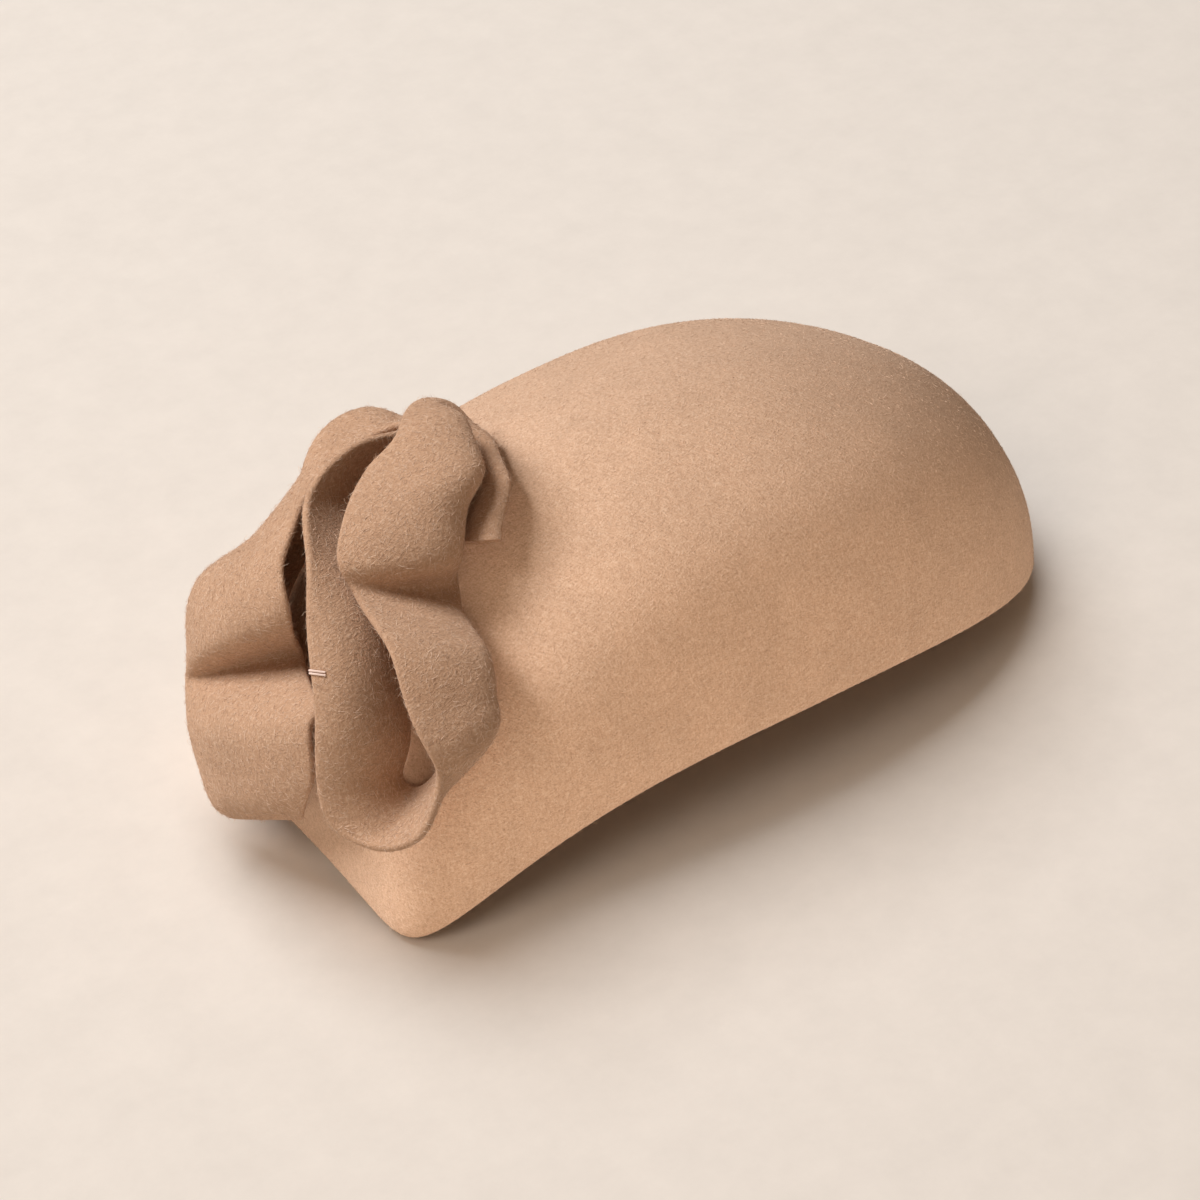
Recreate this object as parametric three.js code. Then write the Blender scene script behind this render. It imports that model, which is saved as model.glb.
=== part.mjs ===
// Cocktail hat: a blocked felt crown with one long felt strip folded into a ruffle on its left end.
// Millimetres, +Z up. The hat stands on a table at z = 0, on its two left corners and its right tip.
// Its length runs along X with the ruffle at the -X end, and its near side faces -Y.

import * as THREE from "three";

// Felt
const FELT_THICKNESS = 2.2;
const FELT_COLOUR = 0xcea683;
const FELT_ROUGHNESS = 0.95;
const SEAM_GAP = 0.4;              // clear space under the strip's sewn edge

// Crown in plan: a round right end and a nearly square left end
const REACH_LEFT = 131;            // from the middle to the left edge
const REACH_RIGHT = 119;           // from the middle to the right tip
const HALF_WIDTH = 70;
const HALF_WIDTH_LEFT = 61;        // half the width of the left end
const TAPER_POWER = 1.5;           // how late the sides draw in towards the left end
const TAPER_PASSES = 4;
const SQUARE_LEFT = 12;            // power of the plan's superellipse, 2 being an ellipse
const SQUARE_RIGHT = 2.25;
const SQUARE_FROM = 0.5;           // cosine past which the left end is fully square

// Crown from the side
const CROWN_HEIGHT = 96;
const APEX_X = -4;                 // the highest point, from the middle
const FULLNESS = 0.94;             // 1 is a half ellipse, and less is a fuller shoulder
const RIM_POWER = 3;               // how late the round dome takes on the rim's plan and rise
const WALL_SLANT = 0.31;           // how far the long sides draw in above the rim, to slope out to it
const WALL_POWER = 4.5;            // how near to the rim that happens
const SIDE_ARCH = 31;              // rise of the rim at the middle of each long side
const ARCH_POWER_LEFT = 2.9;       // how late that rise falls away to each end
const ARCH_POWER_RIGHT = 2;
const FRONT_ARCH = 7.5;            // rise of the rim at the middle of the left edge
const FRONT_ARCH_POWER = 6;        // how closely that rise keeps to the left edge
const SETTLE = 1.6;                // how far the soft rim is pressed flat where it carries the hat

// Rim, turned in under the crown
const TURN_RADIUS = 3;
const LIP_WIDTH = 3;               // flat part of the turned-in edge

// Mesh steps
const CROWN_SEGMENTS = 84;         // around the rim
const CROWN_RINGS = 18;            // from the apex to the rim
const FINE_STEPS = 20;             // short steps per segment when the rim is measured
const TURN_STEPS = 3;
const RUFFLE_STEPS_PER_SECTION = 3;
const RUFFLE_STEPS_ACROSS = 9;

// The ruffle's sections, in order along the strip. Each has three points over the crown: the sewn edge,
// the belly halfway across the strip, and the free edge. "Around" is in degrees from the middle of the
// left edge towards the near side, "down" in degrees from the apex to the rim, and the height is above
// the felt of the crown.
const SECTION_COLUMNS = [
  "sewnAround", "sewnDown",
  "bellyAround", "bellyDown", "bellyHeight",
  "freeAround", "freeDown", "freeHeight",
];

// Outer petal: from the cut end over the left edge, up the left side and behind the ruffle
const OUTER_PETAL = [
  [3, 82, -4, 89, 13, 9, 80, 10],
  [3, 80, -5, 87, 16, 11, 76, 15],
  [1, 77, -8, 83, 16, 12, 71, 19],
  [-2, 74, -10, 79, 17, 10, 66, 22],
  [-5, 70, -12, 77, 16, 8, 63, 18],
  [-8, 66, -14, 75, 15, -2, 61, 6],
  [-11, 62, -14, 71, 18, 1, 56, 24],
  [-15, 58, -19, 65, 19, -2, 52, 30],
  [-21, 52, -19, 56, 15, -6, 48, 28],
  [-27, 50, -23, 49, 16, -14, 43, 23],
  [-32, 48, -31, 49, 19, -18, 40, 20],
  [-34, 43, -34, 45, 16, -21, 37, 18],
  [-31, 36, -28, 36, 11, -21, 34, 17],
];

// Inner wall: back down the middle, to the round turn at the bottom
const INNER_WALL = [
  [-23, 34, -20, 34, 10, -16, 33, 18],
  [-16, 36, -17, 39, 10, -12, 38, 26],
  [-7, 37, -8, 42, 13, -7, 44, 30],
  [4, 44, 3, 47, 18, 1, 49, 31],
  [12, 53, 11, 54, 22, 7, 56, 31],
  [17, 62, 16, 62, 21, 12, 63, 29],
  [18, 67, 18, 69, 15, 16, 73, 21],
  [20, 68, 21, 72, 11, 20, 75, 17],
  [22, 67, 23, 71, 11, 24, 73, 17],
  [23, 64, 25, 67, 11, 25, 67, 20],
];

// Front band: up again in front, pinched at its middle
const FRONT_BAND = [
  [22, 60, 28, 63, 13, 24, 63, 26],
  [20, 54, 28, 59, 15, 20, 58, 29],
  [16, 48, 24, 50, 15, 15, 53, 30],
  [12, 41, 11, 43, 8, 7, 49, 25],
  [4, 37, 12, 39, 15, 4, 47, 30],
  [-4, 34, 8, 33, 17, 1, 43, 31],
  [-12, 32, 4, 27, 17, -4, 37, 28],
  [-15, 33, -9, 25, 17, -8, 32, 26],
];

// Tail: over the tip at the top and down behind the front band
const TAIL = [
  [-19, 31, -18, 28, 14, -24, 30, 18],
  [-17, 28, -17, 26, 8, -26, 28, 8],
  [-11, 27, -8, 24, 6, -12, 23, 4],
  [-3, 29, 4, 27, 8, 6, 25, 8],
  [5, 35, 12, 35, 9, 15, 34, 9],
];

const UP = new THREE.Vector3(0, 0, 1);
const LEFT_END = Math.PI;
const RIM_DOWN = Math.PI / 2;

// Plan reach of the rim and of the rounder dome above it, and the rim's height, at an angle in radians.
// The sides draw in with distance to the left, which the reach itself sets, so a few passes settle both.
function rimAt(around) {
  const c = Math.cos(around);
  const s = Math.sin(around);
  const reach = c > 0 ? REACH_RIGHT : REACH_LEFT;
  const squareness = THREE.MathUtils.smoothstep(-c, 0, SQUARE_FROM);
  const power = THREE.MathUtils.lerp(SQUARE_RIGHT, SQUARE_LEFT, squareness);
  let leftness = Math.max(-c, 0);
  let rim = reach;
  for (let pass = 0; pass < TAPER_PASSES; pass++) {
    const halfWidth = THREE.MathUtils.lerp(HALF_WIDTH, HALF_WIDTH_LEFT, leftness ** TAPER_POWER);
    rim = (Math.abs(c / reach) ** power + Math.abs(s / halfWidth) ** power) ** (-1 / power);
    leftness = Math.max((-rim * c) / reach, 0);
  }
  const dome = 1 / Math.hypot(c / reach, s / HALF_WIDTH);
  const archPower = c > 0 ? ARCH_POWER_RIGHT : ARCH_POWER_LEFT;
  const sideRise = SIDE_ARCH * (1 - Math.abs((rim * c) / reach) ** archPower);
  const frontRise = FRONT_ARCH * (1 - ((rim * s) / HALF_WIDTH_LEFT) ** 2) * leftness ** FRONT_ARCH_POWER;
  return { rim, dome, base: Math.max(sideRise + frontRise - SETTLE, 0) };
}

// Point on the crown's outer face, at angles in radians around it and down from its apex
function crownPoint(around, down) {
  const { rim, dome, base } = rimAt(around);
  const out = Math.sin(down);
  const rise = Math.max(Math.cos(down), 0);
  const rimShare = out ** RIM_POWER;
  const slant = WALL_SLANT * out ** WALL_POWER * rise * Math.sin(around) ** 2;
  const reach = out * THREE.MathUtils.lerp(dome, rim, rimShare) * (1 - slant);
  return new THREE.Vector3(
    reach * Math.cos(around) + APEX_X * rise,
    reach * Math.sin(around),
    CROWN_HEIGHT * rise ** FULLNESS + (base + TURN_RADIUS) * rimShare,
  );
}

// Outward unit normal of the crown there, from two short steps
function crownNormal(around, down) {
  const step = 1e-4;
  const sideways = crownPoint(around + step, down).sub(crownPoint(around - step, down));
  const downhill = crownPoint(around, down).sub(crownPoint(around, down - step));
  return downhill.cross(sideways).normalize();
}

function overCrown(around, down, height) {
  return crownPoint(around, down).addScaledVector(crownNormal(around, down), height);
}

// Angles around the crown at equal steps along its rim
function rimAngles(count) {
  const fineSteps = FINE_STEPS * count;
  const fineAngle = (i) => (2 * Math.PI * i) / fineSteps;
  const lengths = [0];
  for (let i = 1; i <= fineSteps; i++) {
    const step = crownPoint(fineAngle(i), RIM_DOWN).distanceTo(crownPoint(fineAngle(i - 1), RIM_DOWN));
    lengths.push(lengths[i - 1] + step);
  }
  const spacing = lengths[fineSteps] / count;
  const angles = [];
  for (let k = 0; k < count; k++) {
    angles.push(fineAngle(lengths.findIndex((length) => length >= k * spacing)));
  }
  return angles;
}

// A felt mesh from shared vertices and triangles
function feltMesh(name, vertices, triangles) {
  const geometry = new THREE.BufferGeometry().setFromPoints(vertices);
  geometry.setIndex(triangles);
  geometry.computeVertexNormals();
  const felt = new THREE.MeshStandardMaterial({ color: FELT_COLOUR, roughness: FELT_ROUGHNESS, metalness: 0 });
  const mesh = new THREE.Mesh(geometry, felt);
  mesh.name = name;
  return mesh;
}

// One line of the crown's wall, from the outer apex down, round the turned-in rim and up the inside.
// The two ends of the line, at the apex, are shared by all the lines and are left out.
function crownLine(around) {
  const line = [];
  const ringDown = (ring) => (RIM_DOWN * ring) / CROWN_RINGS;
  for (let ring = 1; ring <= CROWN_RINGS; ring++) {
    line.push(crownPoint(around, ringDown(ring)));
  }
  const rim = crownPoint(around, RIM_DOWN);
  const inward = crownNormal(around, RIM_DOWN).setZ(0).normalize().negate();
  const fromRim = (inwards, below) => rim.clone().addScaledVector(inward, inwards).addScaledVector(UP, -below);
  for (let step = 1; step <= TURN_STEPS; step++) {
    const turn = (RIM_DOWN * step) / TURN_STEPS;
    line.push(fromRim(TURN_RADIUS * (1 - Math.cos(turn)), TURN_RADIUS * Math.sin(turn)));
  }
  line.push(fromRim(TURN_RADIUS + LIP_WIDTH, TURN_RADIUS));
  line.push(fromRim(TURN_RADIUS + LIP_WIDTH, TURN_RADIUS - FELT_THICKNESS));
  line.push(fromRim(TURN_RADIUS, TURN_RADIUS - FELT_THICKNESS));
  for (let ring = CROWN_RINGS; ring >= 1; ring--) {
    line.push(overCrown(around, ringDown(ring), -FELT_THICKNESS));
  }
  return line;
}

function makeCrown() {
  const lines = rimAngles(CROWN_SEGMENTS).map(crownLine);
  const perLine = lines[0].length;
  const outerApex = lines.length * perLine;
  const innerApex = outerApex + 1;
  const apex = new THREE.Vector3(APEX_X, 0, CROWN_HEIGHT);
  const vertices = [...lines.flat(), apex, apex.clone().addScaledVector(UP, -FELT_THICKNESS)];
  const triangles = [];
  for (let i = 0; i < lines.length; i++) {
    const here = i * perLine;
    const next = ((i + 1) % lines.length) * perLine;
    triangles.push(outerApex, here, next);
    triangles.push(innerApex, next + perLine - 1, here + perLine - 1);
    for (let j = 0; j < perLine - 1; j++) {
      triangles.push(here + j, here + j + 1, next + j + 1);
      triangles.push(here + j, next + j + 1, next + j);
    }
  }
  return feltMesh("crown", vertices, triangles);
}

// The strip's smooth lines through the sections' sewn, belly and free points, in (around, down, height)
function ruffleLines() {
  const sections = [...OUTER_PETAL, ...INNER_WALL, ...FRONT_BAND, ...TAIL].map((row) =>
    Object.fromEntries(SECTION_COLUMNS.map((column, i) => [column, row[i]])),
  );
  const sewnHeight = FELT_THICKNESS / 2 + SEAM_GAP;
  const through = (points) => new THREE.CatmullRomCurve3(points, false, "catmullrom");
  return {
    steps: (sections.length - 1) * RUFFLE_STEPS_PER_SECTION,
    sewn: through(sections.map((s) => new THREE.Vector3(s.sewnAround, s.sewnDown, sewnHeight))),
    belly: through(sections.map((s) => new THREE.Vector3(s.bellyAround, s.bellyDown, s.bellyHeight))),
    free: through(sections.map((s) => new THREE.Vector3(s.freeAround, s.freeDown, s.freeHeight))),
  };
}

// Middle surface of the strip: rows along it, each a parabola from the sewn edge through the belly
function ruffleSheet() {
  const { steps, sewn, belly, free } = ruffleLines();
  const lowest = FELT_THICKNESS / 2 + SEAM_GAP;
  const rows = [];
  for (let i = 0; i <= steps; i++) {
    const along = i / steps;
    const start = sewn.getPoint(along);
    const end = free.getPoint(along);
    const middle = belly.getPoint(along);
    const handle = middle.multiplyScalar(2).sub(start.clone().add(end).multiplyScalar(0.5));
    const section = new THREE.QuadraticBezierCurve3(start, handle, end);
    const row = [];
    for (let j = 0; j <= RUFFLE_STEPS_ACROSS; j++) {
      const place = section.getPoint(j / RUFFLE_STEPS_ACROSS);
      const around = LEFT_END + THREE.MathUtils.degToRad(place.x);
      const down = THREE.MathUtils.degToRad(place.y);
      row.push(overCrown(around, down, Math.max(place.z, lowest)));
    }
    rows.push(row);
  }
  return rows;
}

// Unit normal of the sheet at a row and column, from its neighbours
function sheetNormal(rows, i, j) {
  const last = rows.length - 1;
  const edge = rows[0].length - 1;
  const along = rows[Math.min(i + 1, last)][j].clone().sub(rows[Math.max(i - 1, 0)][j]);
  const across = rows[i][Math.min(j + 1, edge)].clone().sub(rows[i][Math.max(j - 1, 0)]);
  return along.cross(across).normalize();
}

// The strip as a solid: a closed loop round each row, down one face, round the free edge and back
function makeRuffle() {
  const rows = ruffleSheet();
  const edge = rows[0].length - 1;
  const half = FELT_THICKNESS / 2;
  const perLoop = 2 * (edge + 1) + 1;
  const vertices = [];
  rows.forEach((row, i) => {
    const normals = row.map((_, j) => sheetNormal(rows, i, j));
    const offset = (j, distance) => row[j].clone().addScaledVector(normals[j], distance);
    const outwards = row[edge].clone().sub(row[edge - 1]).normalize();
    for (let j = 0; j <= edge; j++) {
      vertices.push(offset(j, half));
    }
    vertices.push(row[edge].clone().addScaledVector(outwards, half));
    for (let j = edge; j >= 0; j--) {
      vertices.push(offset(j, -half));
    }
  });
  const triangles = [];
  const quad = (a, b, c, d) => triangles.push(a, b, c, a, c, d);
  for (let i = 0; i < rows.length - 1; i++) {
    const here = i * perLoop;
    const next = here + perLoop;
    for (let k = 0; k < perLoop; k++) {
      const after = (k + 1) % perLoop;
      quad(here + k, next + k, next + after, here + after);
    }
  }
  const lastLoop = (rows.length - 1) * perLoop;
  for (let j = 0; j < edge; j++) {
    const back = perLoop - 1 - j;
    quad(j, j + 1, back - 1, back);
    quad(lastLoop + j, lastLoop + back, lastLoop + back - 1, lastLoop + j + 1);
  }
  triangles.push(edge, edge + 1, edge + 2);
  triangles.push(lastLoop + edge, lastLoop + edge + 2, lastLoop + edge + 1);
  return feltMesh("ruffle", vertices, triangles);
}

// The origin lies under the middle of the whole hat, ruffle included
const hat = new THREE.Group();
hat.add(makeCrown(), makeRuffle());
const centre = new THREE.Box3().setFromObject(hat).getCenter(new THREE.Vector3());
hat.position.set(-centre.x, -centre.y, 0);

export default hat;
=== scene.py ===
"""Cocktail hat: a camel felt crown with a folded felt ruffle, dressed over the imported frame."""

import math

import bpy
import numpy as np
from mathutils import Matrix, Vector


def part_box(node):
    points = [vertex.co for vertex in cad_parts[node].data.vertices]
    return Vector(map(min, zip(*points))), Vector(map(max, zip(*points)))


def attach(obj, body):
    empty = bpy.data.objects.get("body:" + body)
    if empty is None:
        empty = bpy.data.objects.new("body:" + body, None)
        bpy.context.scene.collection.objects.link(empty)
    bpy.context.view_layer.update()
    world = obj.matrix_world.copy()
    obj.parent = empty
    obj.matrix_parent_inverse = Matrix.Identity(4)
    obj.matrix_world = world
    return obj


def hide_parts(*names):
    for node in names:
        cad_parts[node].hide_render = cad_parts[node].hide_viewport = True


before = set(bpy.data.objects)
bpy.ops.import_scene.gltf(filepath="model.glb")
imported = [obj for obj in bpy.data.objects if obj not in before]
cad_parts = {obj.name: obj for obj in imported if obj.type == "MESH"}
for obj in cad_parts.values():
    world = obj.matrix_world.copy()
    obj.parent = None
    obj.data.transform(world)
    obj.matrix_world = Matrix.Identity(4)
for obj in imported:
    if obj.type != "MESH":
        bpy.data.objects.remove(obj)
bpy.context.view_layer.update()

MM = 0.001

# Felt, in millimetres as all the sizes of the hat
FELT_THICKNESS = 2.2
SEAM_GAP = 0.4                 # clear space under the strip's sewn edge

# Crown in plan: a round right end and a nearly square left end
REACH_LEFT = 131.0
REACH_RIGHT = 119.0
HALF_WIDTH = 70.0
HALF_WIDTH_LEFT = 61.0
TAPER_POWER = 1.5              # how late the sides draw in towards the left end
TAPER_PASSES = 4
SQUARE_LEFT = 12.0             # power of the plan's superellipse, 2 being an ellipse
SQUARE_RIGHT = 2.25
SQUARE_FROM = 0.5              # cosine past which the left end is fully square

# Crown from the side
CROWN_HEIGHT = 96.0
APEX_X = -4.0
FULLNESS = 0.94                # 1 is a half ellipse, and less is a fuller shoulder
RIM_POWER = 3                  # how late the round dome takes on the rim's plan and rise
WALL_SLANT = 0.31              # how far the long sides draw in above the rim, to slope out to it
WALL_POWER = 4.5               # how near to the rim that happens
SIDE_ARCH = 31.0
ARCH_POWER_LEFT = 2.9
ARCH_POWER_RIGHT = 2.0
FRONT_ARCH = 7.5
FRONT_ARCH_POWER = 6
SETTLE = 1.6                   # how far the soft rim is pressed flat where it carries the hat

# Rim, turned in under the crown
TURN_RADIUS = 3.0
LIP_WIDTH = 3.0

# Mesh steps
CROWN_SEGMENTS = 256
CROWN_RINGS = 64
INNER_RINGS = 32
TURN_STEPS = 8
FINE_STEPS = 20                # short steps per segment when the rim is measured
RUFFLE_STEPS_PER_SECTION = 12
RUFFLE_STEPS_ACROSS = 40
EDGE_STEPS = 6                 # round the free edge's half circle

# The ruffle's sections, in order along the strip. Each has three points over the crown: the sewn edge,
# the belly halfway across the strip, and the free edge. "Around" is in degrees from the middle of the
# left edge towards the near side, "down" in degrees from the apex to the rim, and the height is above
# the felt of the crown.
SECTION_COLUMNS = (
    "sewn_around", "sewn_down",
    "belly_around", "belly_down", "belly_height",
    "free_around", "free_down", "free_height",
)

# Outer petal: from the cut end over the left edge, up the left side and behind the ruffle
OUTER_PETAL = (
    (3, 82, -4, 89, 13, 9, 80, 10),
    (3, 80, -5, 87, 16, 11, 76, 15),
    (1, 77, -8, 83, 16, 12, 71, 19),
    (-2, 74, -10, 79, 17, 10, 66, 22),
    (-5, 70, -12, 77, 16, 8, 63, 18),
    (-8, 66, -14, 75, 15, -2, 61, 6),
    (-11, 62, -14, 71, 18, 1, 56, 24),
    (-15, 58, -19, 65, 19, -2, 52, 30),
    (-21, 52, -19, 56, 15, -6, 48, 28),
    (-27, 50, -23, 49, 16, -14, 43, 23),
    (-32, 48, -31, 49, 19, -18, 40, 20),
    (-34, 43, -34, 45, 16, -21, 37, 18),
    (-31, 36, -28, 36, 11, -21, 34, 17),
)

# Inner wall: back down the middle, to the round turn at the bottom
INNER_WALL = (
    (-23, 34, -20, 34, 10, -16, 33, 18),
    (-16, 36, -17, 39, 10, -12, 38, 26),
    (-7, 37, -8, 42, 13, -7, 44, 30),
    (4, 44, 3, 47, 18, 1, 49, 31),
    (12, 53, 11, 54, 22, 7, 56, 31),
    (17, 62, 16, 62, 21, 12, 63, 29),
    (18, 67, 18, 69, 15, 16, 73, 21),
    (20, 68, 21, 72, 11, 20, 75, 17),
    (22, 67, 23, 71, 11, 24, 73, 17),
    (23, 64, 25, 67, 11, 25, 67, 20),
)

# Front band: up again in front, pinched at its middle
FRONT_BAND = (
    (22, 60, 28, 63, 13, 24, 63, 26),
    (20, 54, 28, 59, 15, 20, 58, 29),
    (16, 48, 24, 50, 15, 15, 53, 30),
    (12, 41, 11, 43, 8, 7, 49, 25),
    (4, 37, 12, 39, 15, 4, 47, 30),
    (-4, 34, 8, 33, 17, 1, 43, 31),
    (-12, 32, 4, 27, 17, -4, 37, 28),
    (-15, 33, -9, 25, 17, -8, 32, 26),
)

# Tail: over the tip at the top and down behind the front band
TAIL = (
    (-19, 31, -18, 28, 14, -24, 30, 18),
    (-17, 28, -17, 26, 8, -26, 28, 8),
    (-11, 27, -8, 24, 6, -12, 23, 4),
    (-3, 29, 4, 27, 8, 6, 25, 8),
    (5, 35, 12, 35, 9, 15, 34, 9),
)

# Photograph: its size in pixels, and the camera that took it
IMAGE_SIDE = 1200
VIEW_AROUND = 37.0             # degrees from the near side towards the ruffle
VIEW_ABOVE = 40.0              # degrees above the table
VIEW_DISTANCE = 1.1
PIXELS_PER_MM = 3.45           # at the hat's middle
PRINCIPAL_RIGHT = 73           # pixels from the image's middle to the point that the camera looks at
PRINCIPAL_BELOW = 55
SENSOR = 36.0

# Colours, as sRGB
FELT_COLOUR = (0.815, 0.68, 0.574)
# The ruffle is the crown's felt painted darker and more saturated: painted shade for its self-shadowed nap
# and deep folds
RUFFLE_SHADED_COLOUR = (0.75, 0.60, 0.485)
FELT_DARK = (0.66, 0.525, 0.43)
FELT_PALE = (0.93, 0.83, 0.74)
THREAD_COLOUR = (0.95, 0.85, 0.80)
FLOOR_COLOUR = (0.93, 0.918, 0.90)

# Finishes, by the names of the shader's inputs
FELT_FINISH = {"Roughness": 0.95, "Specular IOR Level": 0.15, "Sheen Weight": 0.25, "Sheen Roughness": 0.6}
FIBRE_FINISH = {"Roughness": 0.7, "Specular IOR Level": 0.3}
THREAD_FINISH = {"Roughness": 0.6}
FLOOR_FINISH = {"Roughness": 0.9, "Specular IOR Level": 0.1}

# Felt's grain: strokes of matted wool that lie in several directions, and slow patches
STROKE_TURNS = ((20, 0, 10), (75, 35, 0), (-40, 60, 80), (10, -70, 130))   # degrees, one for each direction
STROKE_STRETCH = 5.0           # a stroke's length over its width
STROKE_RANGE = (0.38, 0.62)    # part of the noise between the darkest and the palest stroke
PATCH_SIZE = 14.0
PATCH_RANGE = (0.3, 0.7)       # the same for patches
PATCH_TINT = (0.94, 1.06)      # darkest and lightest patch, as a share of the felt's colour
RELIEF_DEPTH = 0.25

# Table, in metres: its reach each way, and the faint mottle on it
FLOOR_REACH = 6.0
MOTTLE_PER_METRE = 60.0
MOTTLE_RANGE = (0.3, 0.7)      # part of the noise between the darkest and the lightest spot
MOTTLE_TINT = (0.985, 1.01)    # those spots, as a share of the table's colour

# Soft square lights, each for one part of the picture: its name, what it lights, its place to the right, away
# and up as the camera sees them in metres, its side in metres, its power in watts and its linear colour
LIGHTS = (
    ("table_key", "table", (-1.05, 0.80, 2.70), 2.4, 78.0, (1.0, 0.98, 0.965)),
    ("table_fill", "table", (-1.01, -1.45, 1.77), 1.2, 17.0, (1.0, 0.82, 0.67)),
    ("crown_key", "crown", (-2.06, 0.14, 2.18), 1.4, 108.0, (1.0, 0.97, 0.95)),
    ("crown_fill", "crown", (0.32, -1.43, 0.31), 1.0, 15.0, (1.0, 0.84, 0.69)),
    ("ruffle_key", "ruffle", (-1.60, 0.30, 2.53), 1.4, 100.0, (1.0, 0.98, 0.97)),
    ("ruffle_fill", "ruffle", (0.0, -1.35, 0.65), 1.0, 3.0, (1.0, 0.86, 0.72)),
)
WORLD_COLOUR = (1.0, 0.72, 0.50, 1.0)
WORLD_STRENGTH = 0.15

# Nap: short fibres lying on the felt, and longer stray ones. Densities are per square millimetre.
CROWN_NAP = {
    "Nap density": 0.8, "Nap length": 1.1, "Nap width": 0.05,
    "Stray density": 0.012, "Stray length": 2.2, "Stray width": 0.03,
}
RUFFLE_NAP = {
    "Nap density": 0.93, "Nap length": 2.0, "Nap width": 0.05,
    "Stray density": 0.05, "Stray length": 3.0, "Stray width": 0.03,
}
NAP_LEAN = (70.0, 89.0)        # least and most lean from the surface's normal, in degrees
NAP_SIZES = (0.5, 1.3)         # shortest and longest fibre, as a share of the length above
STRAY_LEAN = (40.0, 90.0)
STRAY_SIZES = (0.3, 1.2)
FIBRE_SIDES = 3
NAP_CLEARANCE = 2.5            # lowest part of the felt that carries nap, above the table

# Tack: two strands of thread over the rim of the inner wall, which hold the outer petal to it
TACK_SECTION = 17.45           # place along the strip, counted in sections
TACK_REACH = 0.22              # how far it runs down the wall, as a share of the strip's width
TACK_HOLD = 0.1                # the same on the wall's other face
TACK_GAP = 0.5                 # between the strands over the rim, in rows of the mesh
TACK_SPREAD = 1.6              # how much further apart their ends on the wall are
THREAD_RADIUS = 0.3
THREAD_SIDES = 6

UP = np.array((0.0, 0.0, 1.0))
LEFT_END = math.pi
RIM_DOWN = math.pi / 2
HAT_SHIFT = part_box("crown")[1][0] / MM - REACH_RIGHT    # from the crown's middle to the frame's origin


def to_frame(points):
    """Hat millimetres to metres in the shared frame."""
    return (np.asarray(points, float) + (HAT_SHIFT, 0.0, 0.0)) * MM


def lerp(a, b, t):
    return a + (b - a) * t


def smoothstep(t):
    t = np.clip(t, 0.0, 1.0)
    return t * t * (3.0 - 2.0 * t)


def unit(vectors):
    return vectors / np.linalg.norm(vectors, axis=-1, keepdims=True)


# Crown surface

def rim_at(around):
    """Plan reach of the rim and of the rounder dome above it, and the rim's height, at given angles."""
    c = np.cos(around)
    s = np.sin(around)
    reach = np.where(c > 0, REACH_RIGHT, REACH_LEFT)
    power = lerp(SQUARE_RIGHT, SQUARE_LEFT, smoothstep(-c / SQUARE_FROM))
    leftness = np.maximum(-c, 0.0)
    for _ in range(TAPER_PASSES):
        half_width = lerp(HALF_WIDTH, HALF_WIDTH_LEFT, leftness ** TAPER_POWER)
        rim = (np.abs(c / reach) ** power + np.abs(s / half_width) ** power) ** (-1.0 / power)
        leftness = np.maximum(-rim * c / reach, 0.0)
    dome = 1.0 / np.hypot(c / reach, s / HALF_WIDTH)
    arch_power = np.where(c > 0, ARCH_POWER_RIGHT, ARCH_POWER_LEFT)
    side_rise = SIDE_ARCH * (1.0 - np.abs(rim * c / reach) ** arch_power)
    front_rise = FRONT_ARCH * (1.0 - (rim * s / HALF_WIDTH_LEFT) ** 2) * leftness ** FRONT_ARCH_POWER
    return rim, dome, np.maximum(side_rise + front_rise - SETTLE, 0.0)


def crown_point(around, down):
    """Points on the crown's outer face, at angles around it and down from its apex."""
    rim, dome, base = rim_at(around)
    out = np.sin(down)
    rise = np.maximum(np.cos(down), 0.0)
    rim_share = out ** RIM_POWER
    slant = WALL_SLANT * out ** WALL_POWER * rise * np.sin(around) ** 2
    reach = out * lerp(dome, rim, rim_share) * (1.0 - slant)
    return np.stack(np.broadcast_arrays(
        reach * np.cos(around) + APEX_X * rise,
        reach * np.sin(around),
        CROWN_HEIGHT * rise ** FULLNESS + (base + TURN_RADIUS) * rim_share,
    ), axis=-1)


def crown_normal(around, down):
    step = 1e-4
    sideways = crown_point(around + step, down) - crown_point(around - step, down)
    downhill = crown_point(around, down) - crown_point(around, down - step)
    return unit(np.cross(downhill, sideways))


def over_crown(around, down, height):
    return crown_point(around, down) + np.asarray(height)[..., None] * crown_normal(around, down)


def rim_angles(count):
    """Angles around the crown at equal steps along its rim."""
    fine = np.linspace(0.0, 2.0 * math.pi, FINE_STEPS * count + 1)
    rim = crown_point(fine, RIM_DOWN)
    lengths = np.concatenate([[0.0], np.cumsum(np.linalg.norm(np.diff(rim, axis=0), axis=-1))])
    return np.interp(np.arange(count) * lengths[-1] / count, lengths, fine)


# Meshes

def mesh_object(name, vertices, faces, sharp_angle=60.0):
    """An object at the origin whose mesh holds these points, in hat millimetres, shaded smooth."""
    mesh = bpy.data.meshes.new(name)
    mesh.from_pydata(to_frame(vertices).tolist(), [], faces)
    mesh.validate()
    mesh.shade_smooth()
    mesh.set_sharp_from_angle(angle=math.radians(sharp_angle))
    obj = bpy.data.objects.new(name, mesh)
    bpy.context.scene.collection.objects.link(obj)
    return obj


def weigh_nap(obj, weights):
    """The surface's own nap attribute: how thickly fibres grow at each point."""
    attribute = obj.data.attributes.new("nap", "FLOAT", "POINT")
    attribute.data.foreach_set("value", np.asarray(weights, np.float32))


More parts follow.
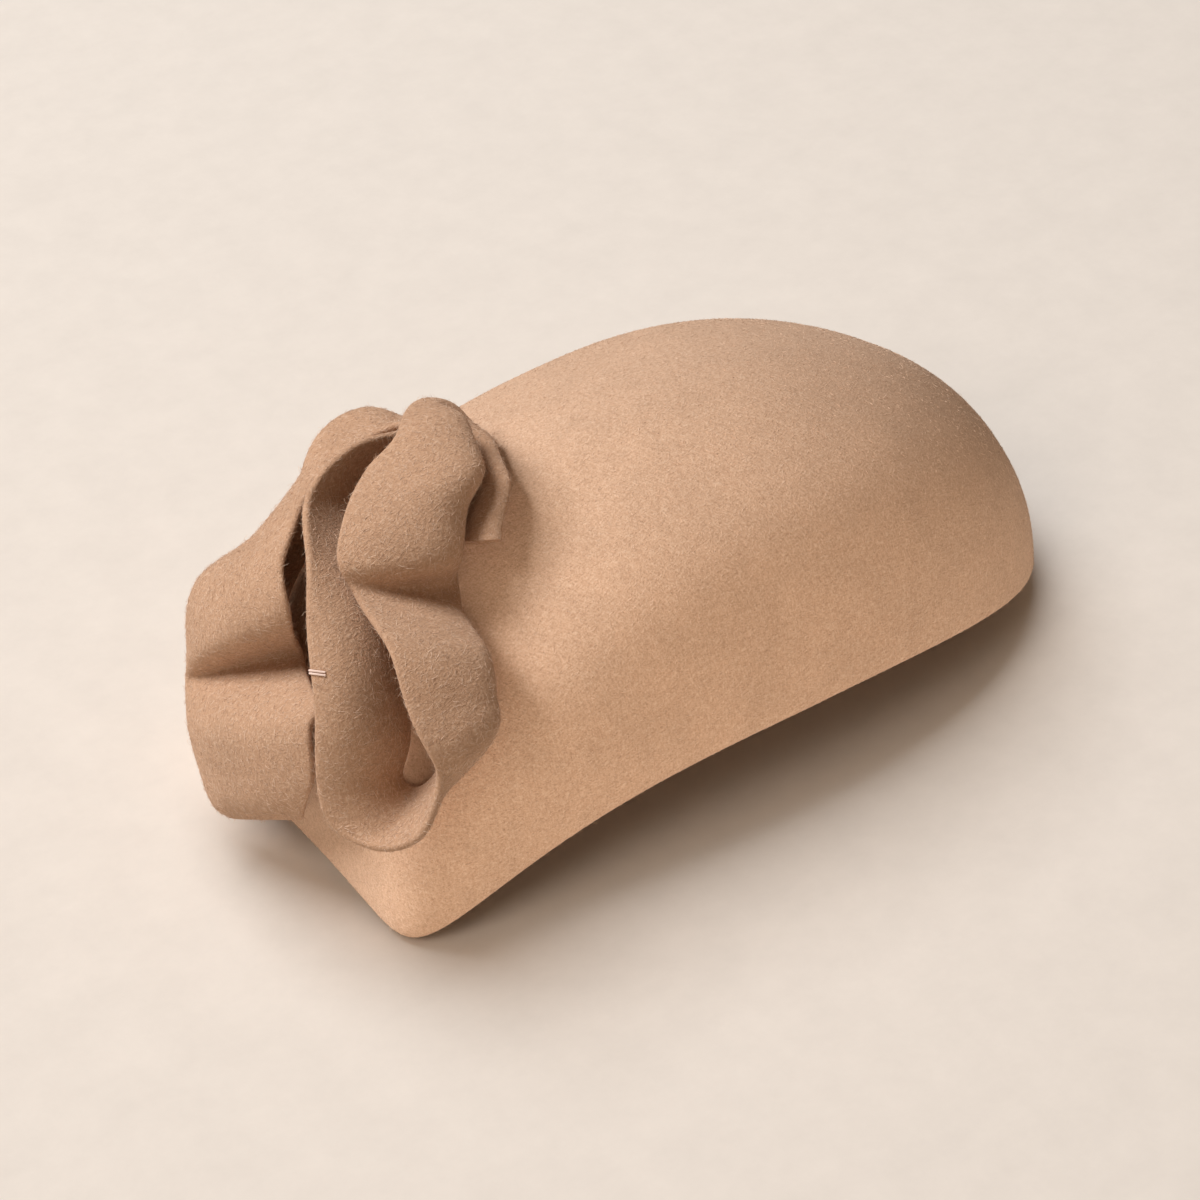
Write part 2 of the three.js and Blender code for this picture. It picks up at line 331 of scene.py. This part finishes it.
def loop_faces(rows, per_row, wrap_rows):
    """Quads between neighbouring rows of points, each row a closed loop or an open line."""
    faces = []
    for i in range(rows if wrap_rows else rows - 1):
        here = i * per_row
        there = ((i + 1) % rows) * per_row
        for j in range(per_row - 1 if wrap_rows else per_row):
            after = (j + 1) % per_row
            faces.append((here + j, here + after, there + after, there + j))
    return faces


def crown_lines():
    """Lines of the crown's wall, from the outer apex down, round the turned-in rim and up the inside."""
    around = rim_angles(CROWN_SEGMENTS)[:, None]
    outer = RIM_DOWN * np.arange(1, CROWN_RINGS + 1) / CROWN_RINGS
    inner = RIM_DOWN * np.arange(INNER_RINGS, 0, -1) / INNER_RINGS
    rim = crown_point(around, RIM_DOWN)
    inward = -crown_normal(around, RIM_DOWN)
    inward[..., 2] = 0.0
    inward = unit(inward)

    def from_rim(inwards, below):
        return rim + inward * np.asarray(inwards)[:, None] - UP * np.asarray(below)[:, None]

    turn = RIM_DOWN * np.arange(1, TURN_STEPS + 1) / TURN_STEPS
    half = FELT_THICKNESS / 2.0
    edge = math.pi * np.arange(0, EDGE_STEPS + 1) / EDGE_STEPS
    lip_end = TURN_RADIUS + LIP_WIDTH - half
    return np.concatenate([
        crown_point(around, outer),
        from_rim(TURN_RADIUS * (1.0 - np.cos(turn)), TURN_RADIUS * np.sin(turn)),
        from_rim(lip_end + half * np.sin(edge), TURN_RADIUS - half + half * np.cos(edge)),
        from_rim([TURN_RADIUS], [TURN_RADIUS - FELT_THICKNESS]),
        over_crown(around, inner, -FELT_THICKNESS),
    ], axis=1)


def make_crown():
    lines = crown_lines()
    rows, per_row = lines.shape[:2]
    apex = np.array((APEX_X, 0.0, CROWN_HEIGHT))
    vertices = np.concatenate([lines.reshape(-1, 3), [apex, apex - UP * FELT_THICKNESS]])
    outer_apex = rows * per_row
    inner_apex = outer_apex + 1
    faces = loop_faces(rows, per_row, wrap_rows=True)
    for i in range(rows):
        here = i * per_row
        there = ((i + 1) % rows) * per_row
        faces.append((outer_apex, here, there))
        faces.append((inner_apex, there + per_row - 1, here + per_row - 1))
    crown = mesh_object("crown_felt", vertices, faces)
    outside = np.arange(per_row) < CROWN_RINGS + TURN_STEPS // 2
    on_lines = outside & (lines[..., 2] > NAP_CLEARANCE)
    on_apexes = (True, False)
    weigh_nap(crown, np.append(on_lines.ravel(), on_apexes))
    return crown


# Ruffle surface

def smooth_line(points, count):
    """Points on a Catmull-Rom line through the given ones, at equal steps of its parameter."""
    ends = np.concatenate([[2 * points[0] - points[1]], points, [2 * points[-1] - points[-2]]])
    place = np.linspace(0.0, len(points) - 1, count)
    first = np.minimum(place.astype(int), len(points) - 2)
    t = (place - first)[:, None]
    before, start, end, after = (ends[first + k] for k in range(4))
    start_slope = (end - before) / 2.0
    end_slope = (after - start) / 2.0
    return (
        start * (2 * t ** 3 - 3 * t ** 2 + 1) + start_slope * (t ** 3 - 2 * t ** 2 + t)
        + end * (3 * t ** 2 - 2 * t ** 3) + end_slope * (t ** 3 - t ** 2)
    )


def ruffle_sheet():
    """Middle surface of the strip: rows along it, each a parabola from the sewn edge through the belly."""
    sections = np.array(OUTER_PETAL + INNER_WALL + FRONT_BAND + TAIL, float)
    column = {name: sections[:, i] for i, name in enumerate(SECTION_COLUMNS)}
    lowest = FELT_THICKNESS / 2.0 + SEAM_GAP
    count = (len(sections) - 1) * RUFFLE_STEPS_PER_SECTION + 1

    def line(name, height):
        return smooth_line(np.stack([column[name + "_around"], column[name + "_down"], height], -1), count)

    sewn = line("sewn", np.full(len(sections), lowest))[:, None]
    belly = line("belly", column["belly_height"])[:, None]
    free = line("free", column["free_height"])[:, None]
    handle = 2.0 * belly - (sewn + free) / 2.0
    t = np.linspace(0.0, 1.0, RUFFLE_STEPS_ACROSS + 1)[None, :, None]
    place = sewn * (1 - t) ** 2 + 2.0 * handle * t * (1 - t) + free * t ** 2
    around = LEFT_END + np.radians(place[..., 0])
    down = np.radians(place[..., 1])
    return over_crown(around, down, np.maximum(place[..., 2], lowest))


def ruffle_loops(sheet, half):
    """Closed loops round the strip's rows: down one face, round the free edge and back along the other."""
    along = np.gradient(sheet, axis=0)
    across = np.gradient(sheet, axis=1)
    normal = unit(np.cross(along, across))
    outwards = unit(across[:, -1:])
    turn = math.pi * np.arange(1, EDGE_STEPS) / EDGE_STEPS
    rounded = (
        sheet[:, -1:] + normal[:, -1:] * (half * np.cos(turn))[None, :, None]
        + outwards * (half * np.sin(turn))[None, :, None]
    )
    return np.concatenate([sheet + half * normal, rounded, (sheet - half * normal)[:, ::-1]], axis=1)


def make_ruffle():
    loops = ruffle_loops(ruffle_sheet(), FELT_THICKNESS / 2.0)
    rows, per_row = loops.shape[:2]
    faces = loop_faces(rows, per_row, wrap_rows=False)
    faces = [face[::-1] for face in faces]
    last = (rows - 1) * per_row
    for j in range(per_row // 2 - 1):
        back = per_row - 1 - j
        faces.append((j, j + 1, back - 1, back))
        faces.append((last + back, last + back - 1, last + j + 1, last + j))
    middle = per_row // 2
    faces.append((middle - 1, middle, middle + 1))
    faces.append((last + middle + 1, last + middle, last + middle - 1))
    ruffle = mesh_object("ruffle_felt", loops.reshape(-1, 3), faces)
    weigh_nap(ruffle, (loops[..., 2] > NAP_CLEARANCE).ravel())
    return ruffle


# Tack

def tube(path, radius, sides):
    """Points and faces of a closed tube along a path."""
    forward = unit(np.gradient(path, axis=0))
    never_forward = (0.3, 0.5, 0.8)
    sideways = unit(np.cross(forward, never_forward))
    upwards = np.cross(forward, sideways)
    turn = 2.0 * math.pi * np.arange(sides) / sides
    rings = path[:, None] + radius * (
        sideways[:, None] * np.cos(turn)[None, :, None] + upwards[:, None] * np.sin(turn)[None, :, None]
    )
    faces = loop_faces(len(path), sides, wrap_rows=False)
    last = (len(path) - 1) * sides
    faces.append(tuple(range(sides))[::-1])
    faces.append(tuple(range(last, last + sides)))
    return rings.reshape(-1, 3), faces


def make_tack():
    """Two strands that lie on the inner wall, over its free edge and a little way down its other face."""
    loops = ruffle_loops(ruffle_sheet(), FELT_THICKNESS / 2.0 + THREAD_RADIUS)
    free_start = RUFFLE_STEPS_ACROSS
    free_end = free_start + EDGE_STEPS
    first = free_start - round(TACK_REACH * RUFFLE_STEPS_ACROSS)
    last = free_end + round(TACK_HOLD * RUFFLE_STEPS_ACROSS)
    steps = np.arange(first, last + 1)
    apart = np.clip((free_start - steps) / (free_start - first), 0.0, 1.0)
    vertices = np.empty((0, 3))
    faces = []
    for side in (-0.5, 0.5):
        place = TACK_SECTION * RUFFLE_STEPS_PER_SECTION + side * (TACK_GAP + TACK_SPREAD * apart)
        row = place.astype(int)
        path = lerp(loops[row, steps], loops[row + 1, steps], (place - row)[:, None])
        points, strand_faces = tube(path, THREAD_RADIUS, THREAD_SIDES)
        faces += [tuple(i + len(vertices) for i in face) for face in strand_faces]
        vertices = np.concatenate([vertices, points])
    return mesh_object("tack", vertices, faces)


# Materials

def linear(colour):
    """sRGB to the linear colour that a shader takes."""
    return [c / 12.92 if c <= 0.04045 else ((c + 0.055) / 1.055) ** 2.4 for c in colour] + [1.0]


def add_node(tree, kind, inputs=None, **settings):
    node = tree.nodes.new(kind)
    for name, value in settings.items():
        setattr(node, name, value)
    for name, value in (inputs or {}).items():
        if isinstance(value, bpy.types.NodeSocket):
            tree.links.new(value, node.inputs[name])
        else:
            node.inputs[name].default_value = value
    return node


def new_group(name, kind, inputs, outputs):
    """An empty node group with named sockets, and its input and output nodes."""
    tree = bpy.data.node_groups.new(name, kind)
    for direction, sockets in (("INPUT", inputs), ("OUTPUT", outputs)):
        for socket, socket_type in sockets.items():
            tree.interface.new_socket(socket, in_out=direction, socket_type=socket_type)
    return tree, tree.nodes.new("NodeGroupInput"), tree.nodes.new("NodeGroupOutput")


def make_felt_grain():
    """Shader group: a mask of short matted strokes, and slow patches, from Object coordinates."""
    tree, given, result = new_group(
        "felt_grain", "ShaderNodeTree",
        {name: "NodeSocketFloat" for name in ("Stroke size", "Stroke stretch", "Patch size")},
        {name: "NodeSocketFloat" for name in ("Strokes", "Patches")},
    )

    def one_over(name):
        divide = add_node(tree, "ShaderNodeMath", {0: 1.0, 1: given.outputs[name]}, operation="DIVIDE")
        return divide.outputs[0]

    place = add_node(tree, "ShaderNodeTexCoord").outputs["Object"]
    per_metre = one_over("Stroke size")
    squeeze = one_over("Stroke stretch")
    scale = add_node(tree, "ShaderNodeCombineXYZ", {"X": 1.0, "Y": 1.0, "Z": squeeze})
    strokes = None
    for degrees in STROKE_TURNS:
        turned = add_node(tree, "ShaderNodeMapping", {
            "Vector": place, "Rotation": [math.radians(d) for d in degrees],
        })
        stretched = add_node(tree, "ShaderNodeVectorMath", {
            0: turned.outputs["Vector"], 1: scale.outputs["Vector"],
        }, operation="MULTIPLY")
        noise = add_node(tree, "ShaderNodeTexNoise", {
            "Vector": stretched.outputs["Vector"], "Scale": per_metre, "Detail": 2.0, "Roughness": 0.6,
        })
        if strokes is None:
            strokes = noise.outputs["Fac"]
        else:
            strokes = add_node(tree, "ShaderNodeMath", {0: strokes, 1: noise.outputs["Fac"]}).outputs[0]
    mean = add_node(tree, "ShaderNodeMath", {0: strokes, 1: 1.0 / len(STROKE_TURNS)}, operation="MULTIPLY")
    contrast = add_node(tree, "ShaderNodeMapRange", {
        "Value": mean.outputs[0], "From Min": STROKE_RANGE[0], "From Max": STROKE_RANGE[1],
    })
    patches = add_node(tree, "ShaderNodeTexNoise", {
        "Vector": place, "Scale": one_over("Patch size"), "Detail": 4.0, "Roughness": 0.65,
    })
    tree.links.new(contrast.outputs["Result"], result.inputs["Strokes"])
    tree.links.new(patches.outputs["Fac"], result.inputs["Patches"])
    return tree


def new_material(name, finish):
    """A material whose shader has the given finish, with its node tree and shader."""
    material = bpy.data.materials.new(name)
    material.use_nodes = True
    shader = material.node_tree.nodes["Principled BSDF"]
    for input_name, value in finish.items():
        shader.inputs[input_name].default_value = value
    return material, material.node_tree, shader


def make_felt_material(name, grain, colour, stroke_size, stroke_contrast, bump):
    """Matted wool: a camel ground with darker and paler strokes, slow patches and a soft sheen."""
    material, tree, shader = new_material(name, FELT_FINISH)
    felt = add_node(tree, "ShaderNodeGroup", node_tree=grain)
    felt.inputs["Stroke size"].default_value = stroke_size * MM
    felt.inputs["Stroke stretch"].default_value = STROKE_STRETCH
    felt.inputs["Patch size"].default_value = PATCH_SIZE * MM
    ramp = add_node(tree, "ShaderNodeValToRGB", {"Fac": felt.outputs["Strokes"]})
    stops = ramp.color_ramp.elements
    middle = stops.new(0.5)
    stops[0].color = linear([lerp(c, d, stroke_contrast) for c, d in zip(colour, FELT_DARK)])
    middle.color = linear(colour)
    stops[-1].color = linear([lerp(c, d, stroke_contrast) for c, d in zip(colour, FELT_PALE)])
    patch = add_node(tree, "ShaderNodeMapRange", {
        "Value": felt.outputs["Patches"], "From Min": PATCH_RANGE[0], "From Max": PATCH_RANGE[1],
        "To Min": PATCH_TINT[0], "To Max": PATCH_TINT[1],
    })
    tint = add_node(tree, "ShaderNodeVectorMath", {0: ramp.outputs["Color"]}, operation="SCALE")
    tree.links.new(patch.outputs["Result"], tint.inputs["Scale"])
    tree.links.new(tint.outputs["Vector"], shader.inputs["Base Color"])
    relief = add_node(tree, "ShaderNodeBump", {
        "Height": felt.outputs["Strokes"], "Strength": bump, "Distance": RELIEF_DEPTH * MM,
    })
    tree.links.new(relief.outputs["Normal"], shader.inputs["Normal"])
    shader.inputs["Sheen Tint"].default_value = linear(FELT_PALE)
    return material


def make_nap_material():
    """Single fibres, from dark to pale by each one's own shade."""
    material, tree, shader = new_material("felt_fibres", FIBRE_FINISH)
    shade = add_node(tree, "ShaderNodeAttribute", attribute_name="shade")
    ramp = add_node(tree, "ShaderNodeValToRGB", {"Fac": shade.outputs["Fac"]})
    stops = ramp.color_ramp.elements
    stops[0].color = linear(FELT_DARK)
    stops[1].color = linear(FELT_PALE)
    tree.links.new(ramp.outputs["Color"], shader.inputs["Base Color"])
    return material


def make_thread_material():
    material, _, shader = new_material("thread", THREAD_FINISH)
    shader.inputs["Base Color"].default_value = linear(THREAD_COLOUR)
    return material


# Nap

def scatter(tree, surface, fibre, density, seed, tilt, size):
    """Nodes that stand copies of a fibre on a surface, each with its own lean, turn, length and shade."""
    weight = add_node(tree, "GeometryNodeInputNamedAttribute", {"Name": "nap"}, data_type="FLOAT")
    local_density = add_node(tree, "ShaderNodeMath", {
        0: density, 1: weight.outputs["Attribute"],
    }, operation="MULTIPLY")
    points = add_node(tree, "GeometryNodeDistributePointsOnFaces", {
        "Mesh": surface, "Density": local_density.outputs[0], "Seed": seed,
    })
    lean = add_node(tree, "FunctionNodeRandomValue", {"Seed": seed}, data_type="FLOAT_VECTOR")
    lean.inputs["Min"].default_value = (math.radians(tilt[0]), 0.0, 0.0)
    lean.inputs["Max"].default_value = (math.radians(tilt[1]), 0.0, 2.0 * math.pi)
    turned = add_node(tree, "FunctionNodeEulerToRotation", {"Euler": lean.outputs["Value"]})
    rotation = add_node(tree, "FunctionNodeRotateRotation", {
        "Rotation": points.outputs["Rotation"], "Rotate By": turned.outputs["Rotation"],
    }, rotation_space="LOCAL")
    scale = add_node(tree, "FunctionNodeRandomValue", {"Seed": seed}, data_type="FLOAT")
    scale.inputs[2].default_value = size[0]
    scale.inputs[3].default_value = size[1]
    copies = add_node(tree, "GeometryNodeInstanceOnPoints", {
        "Points": points.outputs["Points"], "Instance": fibre,
        "Rotation": rotation.outputs["Rotation"], "Scale": scale.outputs[1],
    })
    shade = add_node(tree, "FunctionNodeRandomValue", {"Seed": seed}, data_type="FLOAT")
    stored = add_node(tree, "GeometryNodeStoreNamedAttribute", {
        "Geometry": copies.outputs["Instances"], "Name": "shade", "Value": shade.outputs[1],
    }, data_type="FLOAT", domain="INSTANCE")
    return stored.outputs["Geometry"]


def make_nap_tree():
    """Geometry Nodes: short needle fibres lying on a surface, and longer bent ones that stray from it."""
    tree, given, result = new_group(
        "felt_nap", "GeometryNodeTree",
        {
            "Surface": "NodeSocketGeometry",
            **{name: "NodeSocketFloat" for name in CROWN_NAP},
            "Seed": "NodeSocketInt", "Fibre": "NodeSocketMaterial",
        },
        {"Fibres": "NodeSocketGeometry"},
    )
    needle = add_node(tree, "GeometryNodeMeshCone", {
        "Vertices": FIBRE_SIDES,
        "Radius Bottom": given.outputs["Nap width"], "Depth": given.outputs["Nap length"],
    })
    reach = add_node(tree, "ShaderNodeMath", {
        0: given.outputs["Stray length"], 1: 0.5,
    }, operation="MULTIPLY")
    bend = add_node(tree, "ShaderNodeCombineXYZ", {"Z": reach.outputs[0]})
    tip = add_node(tree, "ShaderNodeCombineXYZ", {"X": reach.outputs[0], "Z": reach.outputs[0]})
    strand = add_node(tree, "GeometryNodeCurveQuadraticBezier", {
        "Resolution": 3, "Start": (0.0, 0.0, 0.0), "Middle": bend.outputs[0], "End": tip.outputs[0],
    })
    section = add_node(tree, "GeometryNodeCurvePrimitiveCircle", {
        "Resolution": FIBRE_SIDES, "Radius": given.outputs["Stray width"],
    })
    hair = add_node(tree, "GeometryNodeCurveToMesh", {
        "Curve": strand.outputs["Curve"], "Profile Curve": section.outputs["Curve"], "Fill Caps": True,
    })
    nap = scatter(tree, given.outputs["Surface"], needle.outputs["Mesh"], given.outputs["Nap density"],
                  given.outputs["Seed"], NAP_LEAN, NAP_SIZES)
    next_seed = add_node(tree, "ShaderNodeMath", {0: given.outputs["Seed"], 1: 1.0})
    stray = scatter(tree, given.outputs["Surface"], hair.outputs["Mesh"], given.outputs["Stray density"],
                    next_seed.outputs[0], STRAY_LEAN, STRAY_SIZES)
    both = add_node(tree, "GeometryNodeJoinGeometry")
    for part in (nap, stray):
        tree.links.new(part, both.inputs["Geometry"])
    real = add_node(tree, "GeometryNodeRealizeInstances", {"Geometry": both.outputs["Geometry"]})
    dressed = add_node(tree, "GeometryNodeSetMaterial", {
        "Geometry": real.outputs["Geometry"], "Material": given.outputs["Fibre"],
    })
    tree.links.new(dressed.outputs["Geometry"], result.inputs["Fibres"])
    return tree


def evaluated_mesh(obj, name):
    """A plain mesh object of what an object's modifiers make."""
    view = bpy.context.evaluated_depsgraph_get()
    mesh = bpy.data.meshes.new_from_object(obj.evaluated_get(view), depsgraph=view)
    made = bpy.data.objects.new(name, mesh)
    bpy.context.scene.collection.objects.link(made)
    return made


def make_nap(surface, name, tree, sizes, material, seed):
    """Fibres on a surface as a plain mesh."""
    values = {"Fibre": material, "Seed": seed}
    for input_name, size in sizes.items():
        values[input_name] = size / MM ** 2 if "density" in input_name else size * MM
    modifier = surface.modifiers.new("nap", "NODES")
    modifier.node_group = tree
    for socket in tree.interface.items_tree:
        if socket.in_out == "INPUT" and socket.name in values:
            modifier[socket.identifier] = values[socket.name]
    nap = evaluated_mesh(surface, name)
    surface.modifiers.remove(modifier)
    return nap


# Set

def make_camera():
    around = math.radians(-VIEW_AROUND)
    above = math.radians(VIEW_ABOVE)
    back = Vector((
        math.sin(around) * math.cos(above), -math.cos(around) * math.cos(above), math.sin(above),
    ))
    data = bpy.data.cameras.new("photo_camera")
    data.sensor_width = SENSOR
    data.lens = SENSOR * PIXELS_PER_MM * VIEW_DISTANCE / MM / IMAGE_SIDE
    data.shift_x = -PRINCIPAL_RIGHT / IMAGE_SIDE
    data.shift_y = PRINCIPAL_BELOW / IMAGE_SIDE
    camera = bpy.data.objects.new("photo_camera", data)
    camera.location = Vector((HAT_SHIFT * MM, 0.0, 0.0)) + back * VIEW_DISTANCE
    camera.rotation_mode = "QUATERNION"
    camera.rotation_quaternion = (-back).to_track_quat("-Z", "Y")
    bpy.context.scene.collection.objects.link(camera)
    bpy.context.scene.camera = camera


def make_light(name, receivers, place, size, power, colour):
    """A square soft light that faces the hat and lights the receivers only."""
    turn = math.radians(VIEW_AROUND)
    right = Vector((math.cos(turn), -math.sin(turn), 0.0))
    away = Vector((math.sin(turn), math.cos(turn), 0.0))
    data = bpy.data.lights.new(name, "AREA")
    data.size = size
    data.energy = power
    data.color = colour
    light = bpy.data.objects.new(name, data)
    light.location = right * place[0] + away * place[1] + Vector((0.0, 0.0, place[2]))
    light.rotation_mode = "QUATERNION"
    light.rotation_quaternion = (-light.location).to_track_quat("-Z", "Y")
    bpy.context.scene.collection.objects.link(light)
    lit = bpy.data.collections.new(name + "_receivers")
    for piece in receivers:
        lit.objects.link(piece)
    light.light_linking.receiver_collection = lit


def make_floor():
    mesh = bpy.data.meshes.new("floor")
    corners = [(x * FLOOR_REACH, y * FLOOR_REACH, 0.0) for x, y in ((-1, -1), (1, -1), (1, 1), (-1, 1))]
    mesh.from_pydata(corners, [], [(0, 1, 2, 3)])
    floor = bpy.data.objects.new("floor", mesh)
    bpy.context.scene.collection.objects.link(floor)
    material, tree, shader = new_material("pale_table", FLOOR_FINISH)
    place = add_node(tree, "ShaderNodeTexCoord").outputs["Object"]
    mottle = add_node(tree, "ShaderNodeTexNoise", {
        "Vector": place, "Scale": MOTTLE_PER_METRE, "Detail": 5.0, "Roughness": 0.7,
    })
    ramp = add_node(tree, "ShaderNodeValToRGB", {"Fac": mottle.outputs["Fac"]})
    for stop, position, tint in zip(ramp.color_ramp.elements, MOTTLE_RANGE, MOTTLE_TINT):
        stop.position = position
        stop.color = linear([c * tint for c in FLOOR_COLOUR])
    tree.links.new(ramp.outputs["Color"], shader.inputs["Base Color"])
    mesh.materials.append(material)
    return floor


def make_world():
    world = bpy.data.worlds.new("studio")
    world.use_nodes = True
    background = world.node_tree.nodes["Background"]
    background.inputs["Color"].default_value = WORLD_COLOUR
    background.inputs["Strength"].default_value = WORLD_STRENGTH
    bpy.context.scene.world = world
    bpy.context.scene.view_settings.view_transform = "Standard"


make_camera()
make_world()
floor = make_floor()

grain = make_felt_grain()
crown = make_crown()
crown.data.materials.append(make_felt_material(
    "crown_felt", grain, FELT_COLOUR, stroke_size=0.45, stroke_contrast=0.55, bump=0.5,
))
ruffle = make_ruffle()
# Its ground colour is the crown's felt with painted shade, darker and more saturated
ruffle.data.materials.append(make_felt_material(
    "ruffle_felt", grain, RUFFLE_SHADED_COLOUR, stroke_size=0.5, stroke_contrast=0.5, bump=0.7,
))

tack = make_tack()
tack.data.materials.append(make_thread_material())

nap_tree = make_nap_tree()
fibre = make_nap_material()
crown_nap = make_nap(crown, "crown_nap", nap_tree, CROWN_NAP, fibre, seed=1)
ruffle_nap = make_nap(ruffle, "ruffle_nap", nap_tree, RUFFLE_NAP, fibre, seed=11)

receivers = {"table": (floor,), "crown": (crown, crown_nap), "ruffle": (ruffle, ruffle_nap, tack)}
for light_name, lights_what, place, size, power, colour in LIGHTS:
    make_light(light_name, receivers[lights_what], place, size, power, colour)

for piece in (crown, ruffle, tack, crown_nap, ruffle_nap):
    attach(piece, "root")
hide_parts("crown")
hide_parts("ruffle")
